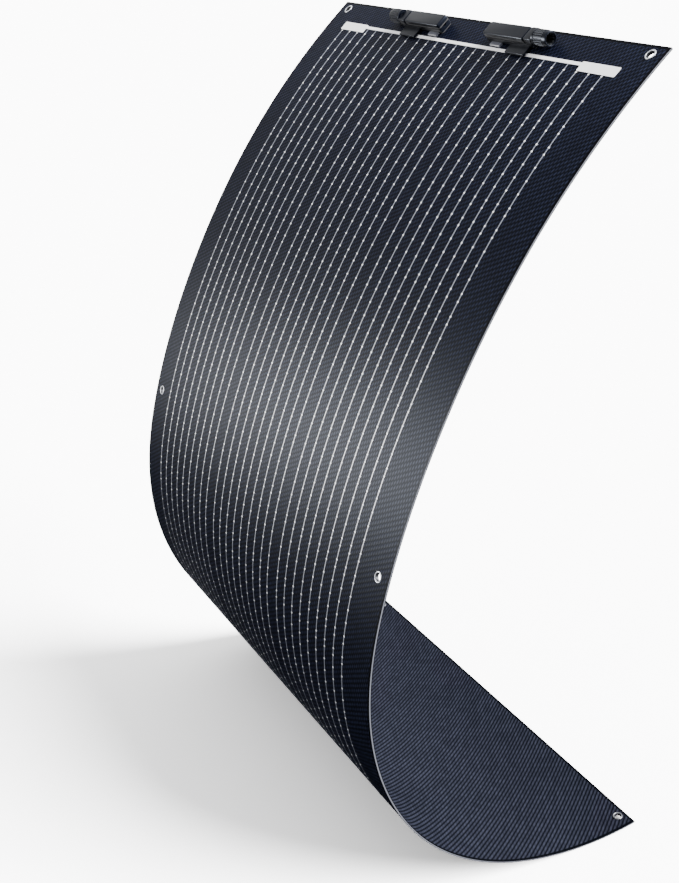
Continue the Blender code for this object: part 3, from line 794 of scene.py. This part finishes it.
# %% Lay the ribbons and pads
array_end = TOP_MARGIN + ROWS * ROW_PITCH
for span in spans:
    start = max(span["start"], LINE_START)
    end = min(span["end"], array_end)
    strands, drops = [], []
    for column in range(COLUMNS):
        middle = (1 - column) * COLUMN_PITCH + ARRAY_SHIFT
        common = {"Guide": guide, "Start": start, "End": end, "Middle": middle}
        strands.append(grow(f"strand_{column}", strand, {**common, "Material": ribbon_look}))
        shift = MIDDLE_SHIFT if column == 1 else 0.0
        for share in PAD_SHARES:
            drops.append(grow(f"drop_{column}", pads, {
                **common, "Material": solder_look, "Share": share + shift,
                "First row": TOP_MARGIN, "Rows": ROWS}))
    ribbons = join_pieces(f"ribbons_{span['tag']}", strands)
    bend_with_sheet(ribbons, span)
    solder = join_pieces(f"solder_pads_{span['tag']}", drops)
    bend_with_sheet(solder, span)
print("ribbons and pads laid on", len(spans), "spans")

# %% [markdown]
# ## Cross ribbons
#
# At each end of the columns a wide flat ribbon joins their ends, in the plane of the cells. It
# is the same slab as a laminate layer, only narrower and thinner, so the same tree makes it.

# %% Lay the cross ribbons
CROSS_WIDE, CROSS_FROM_CELLS = 0.005, 0.0035
CROSS_LOW, CROSS_HIGH = 0.00015, 0.00045
cells_half_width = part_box("cross_ribbon_top")[1].y


def lay_cross_ribbon(name, start, body):
    piece = grow(name, layer, {
        "Guide": guide, "Material": ribbon_look, "Start": start, "End": start + CROSS_WIDE,
        "Half width": cells_half_width, "Low": CROSS_LOW, "High": CROSS_HIGH, "Step": LAYER_STEP})
    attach(piece, body)
    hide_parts(name.replace("wide", "cross"))


lay_cross_ribbon("wide_ribbon_top", TOP_MARGIN - CROSS_FROM_CELLS - CROSS_WIDE, "strip_01")
lay_cross_ribbon("wide_ribbon_lower", array_end + CROSS_FROM_CELLS, f"strip_{STRIPS:02d}")
print("cross ribbons span", round(2 * cells_half_width, 3), "m")

# %% [markdown]
# ## Solid pieces: two small makers
#
# Most small parts are either turned, like an eyelet, or stacked, like a moulded box whose
# outline shrinks a little towards its soft top edge. Two makers cover both. Each builds its
# faces in the piece's own axes, moves them into place and then turns all faces outwards,
# because a mirrored place would leave them inside out.

# %% Turned and stacked pieces
LEAST_CORNER = 0.0002


def solid_piece(name, shape, place, look):
    """Finish a bmesh: into place, faces outwards, smooth with sharp edges kept."""
    bmesh.ops.transform(shape, matrix=place, verts=shape.verts)
    bmesh.ops.recalc_face_normals(shape, faces=shape.faces)
    mesh = bpy.data.meshes.new(name)
    shape.to_mesh(mesh)
    shape.free()
    mesh.shade_smooth()
    mesh.set_sharp_from_angle(angle=SMOOTH_UNDER)
    mesh.materials.append(look)
    return add_object(name, mesh)


def join_rings(shape, low, high):
    """Faces all the way round between two closed rings of as many points."""
    for corner in range(len(low)):
        after = (corner + 1) % len(low)
        shape.faces.new((low[corner], low[after], high[after], high[corner]))


def turned(name, outline, place, look, sides=48):
    """Ring turned about the place's Z axis from a closed outline of (radius, z)."""
    shape = bmesh.new()
    rings = []
    for step in range(sides):
        angle = 2 * math.pi * step / sides
        rings.append([shape.verts.new((radius * math.cos(angle), radius * math.sin(angle), z))
                      for radius, z in outline])
    for ring, following in zip(rings, rings[1:] + rings[:1]):
        join_rings(shape, ring, following)
    return solid_piece(name, shape, place, look)


def stacked(name, layers, place, look):
    """Closed solid through outlines, each a list of (x, y) at one height."""
    shape = bmesh.new()
    rings = [[shape.verts.new((x, y, z)) for x, y in outline] for outline, z in layers]
    for low, high in zip(rings, rings[1:]):
        join_rings(shape, low, high)
    shape.faces.new(rings[0])
    shape.faces.new(rings[-1])
    return solid_piece(name, shape, place, look)


def rounded_plate(x0, x1, y0, y1, radius, steps=5):
    """Outline of a rectangle with round corners."""
    outline = []
    corners = ((x1 - radius, y1 - radius, 0), (x0 + radius, y1 - radius, 90),
               (x0 + radius, y0 + radius, 180), (x1 - radius, y0 + radius, 270))
    for x, y, start in corners:
        for step in range(steps + 1):
            angle = math.radians(start + 90 * step / steps)
            outline.append((x + radius * math.cos(angle), y + radius * math.sin(angle)))
    return outline


def soft_block(x0, x1, y0, y1, low, high, corner, edge, steps=5):
    """Layers of a block with round corners and a soft top edge."""
    layers = [(rounded_plate(x0, x1, y0, y1, corner), low)]
    for step in range(steps + 1):
        angle = math.radians(90 * step / steps)
        inset = edge * (1 - math.cos(angle))
        outline = rounded_plate(x0 + inset, x1 - inset, y0 + inset, y1 - inset,
                                max(corner - inset, LEAST_CORNER))
        layers.append((outline, high - edge + edge * math.sin(angle)))
    return layers


def half_round(inner, outer, low, high, steps=8):
    """Arch over the gap between two radii, as (radius, z) points from outer to inner."""
    middle, reach = (inner + outer) / 2, (outer - inner) / 2
    return [(middle + reach * math.cos(math.pi * step / steps),
             low + (high - low) * math.sin(math.pi * step / steps)) for step in range(steps + 1)]


# %% [markdown]
# ## Eyelets and washers
#
# An eyelet is pressed steel: a tube with a rounded rim on the front, pushed through the sheet
# and rolled over a washer at the back. Both are turned. The tube's wall is painted near black, as
# painted shade for the inside of the hole.

# %% Steel finishes
steel_look = grainy("polished steel rim", (0.42, 0.43, 0.46), (0.34, 0.35, 0.38), 0.34,
                    Metallic=0.35)
washer_look = grainy("dull steel washer", (0.16, 0.165, 0.18), (0.12, 0.125, 0.14), 0.42,
                     Metallic=0.9)
# Painted shade: the tube's wall is near black so that the hole inside each eyelet reads as shaded.
eyelet_bore_shade_look = grainy("eyelet bore painted shade", (0.030, 0.031, 0.036), (0.020, 0.021, 0.025), 0.5,
                   Metallic=0.6)

# %% Turn the eyelets
EYELET_BORE, EYELET_TUBE, WASHER_BORE = 0.0036, 0.0040, 0.0043
RIM_THICK, WASHER_THICK, LAMINATE_GAP = 0.0006, 0.0005, 0.00005
eyelet_strips = {"top": "strip_01", "middle": "strip_03", "lower": f"strip_{STRIPS:02d}"}
rim_front = FILM_HIGH + LAMINATE_GAP
washer_front = BACK_LOW - LAMINATE_GAP
rim_back = washer_front - WASHER_THICK - LAMINATE_GAP
front_rim = half_round(EYELET_TUBE, EYELET_RIM, rim_front, rim_front + RIM_THICK)
back_rim = half_round(EYELET_TUBE, EYELET_RIM, rim_back, rim_back - RIM_THICK)
tube_front, tube_back = rim_front + RIM_THICK / 2, rim_back - RIM_THICK / 2
tube_wall = [(EYELET_BORE, tube_front - RIM_THICK / 3), (EYELET_TUBE, tube_front),
             (EYELET_TUBE + RIM_THICK / 3, tube_front - RIM_THICK / 3),
             (EYELET_TUBE, rim_front), (EYELET_TUBE, rim_back),
             (EYELET_TUBE + RIM_THICK / 3, tube_back + RIM_THICK / 3),
             (EYELET_TUBE, tube_back), (EYELET_BORE, tube_back + RIM_THICK / 3)]
washer_outline = [(WASHER_BORE, washer_front), (EYELET_RIM, washer_front),
                  (EYELET_RIM, washer_front - WASHER_THICK),
                  (WASHER_BORE, washer_front - WASHER_THICK)]
for word, station in eyelet_at.items():
    for side, side_word in SIDES:
        place = sheet_frame(station, side * (half_width - EYELET_INSET))
        tag = f"{word}_{side_word}"
        rims = join_pieces(f"steel_eyelet_{tag}", [
            turned("front_rim", front_rim, place, steel_look),
            turned("back_rim", back_rim, place, washer_look),
            turned("tube", tube_wall, place, eyelet_bore_shade_look)])
        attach(rims, eyelet_strips[word])
        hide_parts(f"eyelet_{tag}")
        washer = turned(f"steel_washer_{tag}", washer_outline, place, washer_look)
        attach(washer, eyelet_strips[word])
        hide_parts(f"washer_{tag}")
print("eyelets", 2 * len(eyelet_at))

# %% [markdown]
# ## Cover tape and its two blank labels
#
# A narrow white tape hides the joints of the ribbons at the top, and it widens into a blank
# label at each end. It is one outline, made flat and then moved point by point onto the sheet.

# %% Lay the tape
TAPE_FROM_TOP, TAPE_WIDE = 0.0286, 0.0034
LABEL_FROM_TOP, LABEL_WIDE, LABEL_CORNER = 0.0272, 0.0102, 0.0011
LABEL_ENDS = (0.1890, 0.2395)    # inner and outer end, from the middle of the width
TAPE_LOW, TAPE_HIGH = 0.00104, 0.00140
tape_look = grainy("white tape", (0.93, 0.93, 0.94), (0.86, 0.86, 0.87), 0.45)


def end_label(side):
    """A label's outline from where the tape meets it round to where the tape leaves it."""
    inner, outer = LABEL_ENDS
    low, high = LABEL_FROM_TOP, LABEL_FROM_TOP + LABEL_WIDE
    points = rounded_plate(low, high, inner, outer, LABEL_CORNER)
    tape_low, tape_high = TAPE_FROM_TOP, TAPE_FROM_TOP + TAPE_WIDE
    loop = [(tape_high, inner), *points[len(points) * 3 // 4:], *points[:len(points) * 3 // 4],
            (tape_low, inner)]
    return loop if side > 0 else [(x, -y) for x, y in reversed(loop)]


shape = bmesh.new()
outline = end_label(1) + end_label(-1)
low_ring, high_ring = [[shape.verts.new(sheet_frame(x, y, height).translation)
                        for x, y in outline] for height in (TAPE_LOW, TAPE_HIGH)]
join_rings(shape, low_ring, high_ring)
caps = [shape.faces.new(low_ring), shape.faces.new(high_ring)]
bmesh.ops.triangulate(shape, faces=caps)
tape = solid_piece("white_cover_tape", shape, Matrix(), tape_look)
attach(tape, "strip_01")
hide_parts("cover_tape")
print("tape points", len(outline))

# %% [markdown]
# ## Junction boxes
#
# Each box is a shallow moulded tray glued to the front, a lid with soft edges, and a cable
# gland at the outer end. The working model gives every outer size, so the box is measured
# first, in its own axes: down the sheet, away from the middle, and out of the front face.

# %% Box finishes
housing_look = grainy("black moulded housing", (0.0014, 0.0018, 0.0036),
                      (0.0024, 0.0029, 0.0052), 0.30, depth=0.0000008,
                      Specular_IOR_Level=0.10, Specular_Tint=(0.66, 0.77, 1.0, 1.0))
claw_look = grainy("glossy claws", (0.009, 0.010, 0.012), (0.014, 0.015, 0.017), 0.16)
rubber_look = grainy("black rubber", (0.0045, 0.0045, 0.0050), (0.0075, 0.0075, 0.0080), 0.7)
foam_look = grainy("adhesive foam", (0.020, 0.020, 0.022), (0.030, 0.030, 0.032), 0.9)
sealant_look = grainy("pale sealant foot", (0.075, 0.080, 0.105), (0.11, 0.115, 0.145), 0.35)
diode_look = grainy("diode body", (0.014, 0.014, 0.016), (0.030, 0.030, 0.033), 0.4)

# %% Measure a box
down_the_sheet = -up_the_sheet


def box_measures(side, word):
    """The box's place, and each of its nodes' low and high corners in the box's own axes."""
    axes = np.array([down_the_sheet, (0, side, 0), front_normal])

    def reach(kind):
        points = [vertex.co for vertex in frame["nodes"][f"{kind}_{word}"].data.vertices]
        local = np.array(points) @ axes.T
        return local.min(axis=0), local.max(axis=0)

    base, pad = reach("box_base"), reach("box_pad")
    corner = np.array([base[0][0], base[0][1], pad[0][2]])
    place = Matrix(axes.tolist()).transposed().to_4x4()
    place.translation = Vector(corner @ axes)
    kinds = ("box_base", "box_lid", "box_pad", "lid_gasket", "gland_nut", "gland_seal")
    return place, {kind: [edge - corner for edge in reach(kind)] for kind in kinds}


box_places = {word: box_measures(side, word) for side, word in SIDES}
for word, (_, sizes) in box_places.items():
    print(word, {kind: [edge.round(4).tolist() for edge in pair]
                 for kind, pair in sizes.items()})

# %% [markdown]
# The lid's end is open against the tray's end block, and the block has the cable's bore. Both
# are cut with a Boolean on a throwaway cutter, which is the plain way to drill a moulding.

# %% Cutting one piece with another


def cut_away(piece, cutter):
    modifier = piece.modifiers.new("cut", "BOOLEAN")
    modifier.operation = "DIFFERENCE"
    modifier.solver = "EXACT"
    modifier.object = cutter
    graph = bpy.context.evaluated_depsgraph_get()
    mesh = bpy.data.meshes.new_from_object(piece.evaluated_get(graph))
    piece.modifiers.clear()
    piece.data = mesh
    mesh.set_sharp_from_angle(angle=SMOOTH_UNDER)
    bpy.data.objects.remove(cutter, do_unlink=True)


# %% [markdown]
# The ribs of the gland nut and the claws that grip the cable are both a ring of bars, so one
# tree makes them: a circle of points, a bar on each, turned to face outwards.

# %% The tree for a ring of bars
bars_tree, given, result = new_group(
    "ring of bars", "GeometryNodeTree",
    [("Count", "Int", 16), ("Radius", "Float", 0.007),
     ("Bar radius", "Float", 0.0006), ("Bar sides", "Int", 10),
     ("Flatten", "Vector", (1.0, 1.0, 1.0)), ("Long", "Float", 0.01),
     ("Material", "Material", None)],
    [("Bars", "Geometry")])
circle = add_node(bars_tree, "GeometryNodeMeshCircle", {
    "Vertices": given["Count"], "Radius": given["Radius"]})
bar = add_node(bars_tree, "GeometryNodeMeshCylinder", {
    "Vertices": given["Bar sides"], "Radius": given["Bar radius"],
    "Depth": given["Long"]})
shaped_bar = add_node(bars_tree, "GeometryNodeTransform", {
    "Geometry": bar.outputs["Mesh"], "Scale": given["Flatten"]})
spot = parts_of(bars_tree, add_node(bars_tree, "GeometryNodeInputPosition").outputs[0])
turn = maths(bars_tree, "ARCTAN2", spot["Y"], spot["X"])
ring = add_node(bars_tree, "GeometryNodeInstanceOnPoints", {
    "Points": circle.outputs[0], "Instance": shaped_bar.outputs[0],
    "Rotation": xyz(bars_tree, 0.0, 0.0, turn)})
solid = add_node(bars_tree, "GeometryNodeRealizeInstances", {0: ring.outputs[0]})
painted = add_node(bars_tree, "GeometryNodeSetMaterial", {
    "Geometry": solid.outputs[0], "Material": given["Material"]})
bars_tree.links.new(painted.outputs[0], result[0])


def bars(name, place, values):
    piece = grow(name, bars_tree, values)
    piece.data.transform(place)
    if place.determinant() < 0:
        piece.data.flip_normals()
    return piece


# %% Tray, end block, tongue and socket
WALL = 0.0016
CORNER, SOFT_EDGE, LOW_EDGE = 0.0022, 0.0011, 0.0004
POCKET_CORNER = 0.0010
TONGUE_LONG, TONGUE_FROM_END, TONGUE_HIGH = 0.030, 0.0070, 0.0032
CABLE_BORE, SEAL_SEAT = 0.0030, 0.0049
SOCKET_RADIUS, THREADS, THREAD_DEEP = 0.0057, 9, 0.00025
FOOT_START, FOOT_LONG, FOOT_OUT = 0.0070, 0.0165, 0.0042
FOOT_LOW, FOOT_HIGH, FOOT_CORNER, FOOT_EDGE = -0.00045, 0.0016, 0.0012, 0.0008
GAP = 0.0003                 # the clearance that the working model leaves between box parts
NEEDLE, MERGE_UNDER = 0.00001, 0.0001


def gland_place(place, sizes):
    """Frame on the gland's axis at the end block's face, with +Z out along the cable."""
    nut_low, nut_high = sizes["gland_nut"]
    middle = (nut_low + nut_high) / 2
    end = sizes["lid_gasket"][1][1] + block_long(sizes)
    spot = Matrix.Translation((middle[0], end, middle[2]))
    return place @ spot @ Matrix.Rotation(math.radians(-90), 4, "X")


def block_long(sizes):
    """Length of the end block, from the lid's end to the face that the nut turns on."""
    return sizes["gland_nut"][0][1] - sizes["lid_gasket"][1][1] - GAP


def build_tray(word):
    place, sizes = box_places[word]
    lid_high = sizes["box_lid"][1]
    deep, lid_end = lid_high[0], lid_high[1]
    face = lid_end + block_long(sizes)
    bottom, rim, top = sizes["box_base"][0][2], sizes["lid_gasket"][0][2] - GAP, lid_high[2]
    outer = rounded_plate(0, deep, 0, face, CORNER)
    soft = rounded_plate(LOW_EDGE, deep - LOW_EDGE, LOW_EDGE, face - LOW_EDGE, CORNER)
    pocket = rounded_plate(WALL, deep - WALL, WALL, lid_end - WALL, POCKET_CORNER)
    tray = stacked(f"tray_{word}", [
        (soft, bottom), (outer, bottom + LOW_EDGE), (outer, rim), (pocket, rim),
        (pocket, bottom + WALL)], place, housing_look)
    block = stacked("block", soft_block(0, deep, lid_end + GAP, face, rim - WALL / 2, top,
                                        CORNER, SOFT_EDGE), place, housing_look)
    tongue = stacked("tongue", soft_block(
        deep - WALL / 2, sizes["box_base"][1][0], face - TONGUE_FROM_END - TONGUE_LONG,
        face - TONGUE_FROM_END, bottom + LOW_EDGE / 2, TONGUE_HIGH, SOFT_EDGE, SOFT_EDGE / 2),
        place, housing_look)
    gland = gland_place(place, sizes)
    seal_end = sizes["gland_seal"][1][1] - face
    socket = turned("socket", [(SEAL_SEAT, -WALL), (SOCKET_RADIUS, -WALL),
                               (SOCKET_RADIUS, seal_end), (SEAL_SEAT, seal_end)],
                    gland, housing_look)
    for part in (block, tray):
        drill = turned("drill", [(NEEDLE, -2 * face), (CABLE_BORE, -2 * face),
                                 (CABLE_BORE, face), (NEEDLE, face)], gland, housing_look)
        drill_solid(drill)
        cut_away(part, drill)
    return join_pieces(f"moulded_tray_{word}", [tray, block, tongue, socket])


def drill_solid(drill):
    """Close a turned drill's needle-thin middle so that it cuts as a solid."""
    shape = bmesh.new()
    shape.from_mesh(drill.data)
    bmesh.ops.remove_doubles(shape, verts=shape.verts, dist=MERGE_UNDER)
    bmesh.ops.recalc_face_normals(shape, faces=shape.faces)
    shape.to_mesh(drill.data)
    shape.free()


for _, word in SIDES:
    place, sizes = box_places[word]
    tray = build_tray(word)
    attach(tray, "strip_01")
    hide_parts(f"box_base_{word}")
    deep = sizes["box_lid"][1][0]
    foot = stacked(f"sealant_foot_{word}", soft_block(
        deep - WALL / 2, deep + FOOT_OUT, FOOT_START, FOOT_START + FOOT_LONG, FOOT_LOW,
        FOOT_HIGH, FOOT_CORNER, FOOT_EDGE), place, sealant_look)
    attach(foot, "strip_01")
print("trays made")

# %% Lids
LID_SOFT_EDGE = 0.0014
ROOF_SKIN, SQUARE_CORNER = 0.0002, 0.0001


def build_lid(word):
    place, sizes = box_places[word]
    low, high = sizes["box_lid"]
    roof = high[2] - WALL
    pocket = rounded_plate(WALL, high[0] - WALL, WALL, high[1] - WALL, POCKET_CORNER)
    walls = soft_block(0, high[0], 0, high[1], low[2], high[2], CORNER, LID_SOFT_EDGE)
    lid = stacked(f"soft_lid_{word}", [(pocket, roof), (pocket, low[2]), *walls], place,
                  housing_look)
    opening = rounded_plate(WALL, high[0] - WALL, high[1] - 2 * WALL, high[1] + WALL,
                            SQUARE_CORNER)
    cutter = stacked("opening", [(opening, low[2] - WALL), (opening, roof - ROOF_SKIN)], place,
                     housing_look)
    cut_away(lid, cutter)
    return lid


for _, word in SIDES:
    lid = build_lid(word)
    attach(lid, f"lid_{word}")
    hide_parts(f"box_lid_{word}")
print("lids made")

# %% Gland nuts and claws
NUT_MOUTH, NUT_INNER, NUT_WALL, RIB_RADIUS, NUT_RIBS = 0.0054, 0.0060, 0.0040, 0.0008, 20
COLLAR_LONG, COLLAR_SLOPE, LIP_LONG, LIP_HIGH = 0.0018, 0.0008, 0.0024, 0.0006
BODY_INSET, LIP_INSET = 0.0005, 0.0004
GRIP_START, GRIP_SHORTER, RIB_SIDES = 0.0028, 0.0075, 14
CLAWS, CLAW_RADIUS, CLAW_INSET, CLAW_TO_MOUTH = 10, 0.0011, 0.0007, 0.0016
CLAW_FLAT = (0.45, 1.0, 1.0)
for _, word in SIDES:
    place, sizes = box_places[word]
    gland = gland_place(place, sizes)
    nut_low, nut_high = sizes["gland_nut"]
    outer = (nut_high[2] - nut_low[2]) / 2
    long = nut_high[1] - nut_low[1]
    start = GAP
    end = start + long
    body = outer - BODY_INSET
    lip = half_round(NUT_MOUTH, body - LIP_INSET, end - LIP_HIGH, end, 6)
    nut = turned("nut", [(NUT_INNER, start), (outer, start), (outer, start + COLLAR_LONG),
                         (body, start + COLLAR_LONG + COLLAR_SLOPE), (body, end - LIP_LONG),
                         *lip, (NUT_MOUTH, end - NUT_WALL), (NUT_INNER, end - NUT_WALL)],
                 gland, housing_look)
    grip_long = long - GRIP_SHORTER
    grip_middle = start + GRIP_START + grip_long / 2
    ribs = bars("ribs", gland @ Matrix.Translation((0, 0, grip_middle)), {
        "Count": NUT_RIBS, "Radius": outer - RIB_RADIUS, "Bar radius": RIB_RADIUS,
        "Bar sides": RIB_SIDES, "Long": grip_long, "Material": housing_look})
    nut = join_pieces(f"ribbed_nut_{word}", [nut, ribs])
    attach(nut, f"nut_{word}")
    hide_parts(f"gland_nut_{word}")
    seal_end = sizes["gland_seal"][1][1] - (nut_low[1] - start)
    claw_long = end - CLAW_TO_MOUTH - seal_end
    claws = bars(f"claws_{word}", gland @ Matrix.Translation((0, 0, seal_end + claw_long / 2)), {
        "Count": CLAWS, "Radius": NUT_MOUTH - CLAW_INSET, "Bar radius": CLAW_RADIUS,
        "Flatten": CLAW_FLAT, "Long": claw_long, "Material": claw_look})
    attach(claws, "strip_01")
print("nuts and claws made")

# %% [markdown]
# ## Finishes for the inner pieces that stay as modelled
#
# The pads, gaskets, seals and diodes have their true shape in the working model already, so
# they only need their finishes, given on each object's own material slot.

# %% Paint the inner pieces
inner_finishes = {"box_pad": foam_look, "lid_gasket": rubber_look, "gland_seal": rubber_look,
                  "bypass_diode": diode_look}
for kind, look in inner_finishes.items():
    for _, word in SIDES:
        for slot in frame["nodes"][f"{kind}_{word}"].material_slots:
            slot.material = look
print("inner pieces painted", 2 * len(inner_finishes))

# %% Remove the guide curve
bpy.data.objects.remove(guide, do_unlink=True)
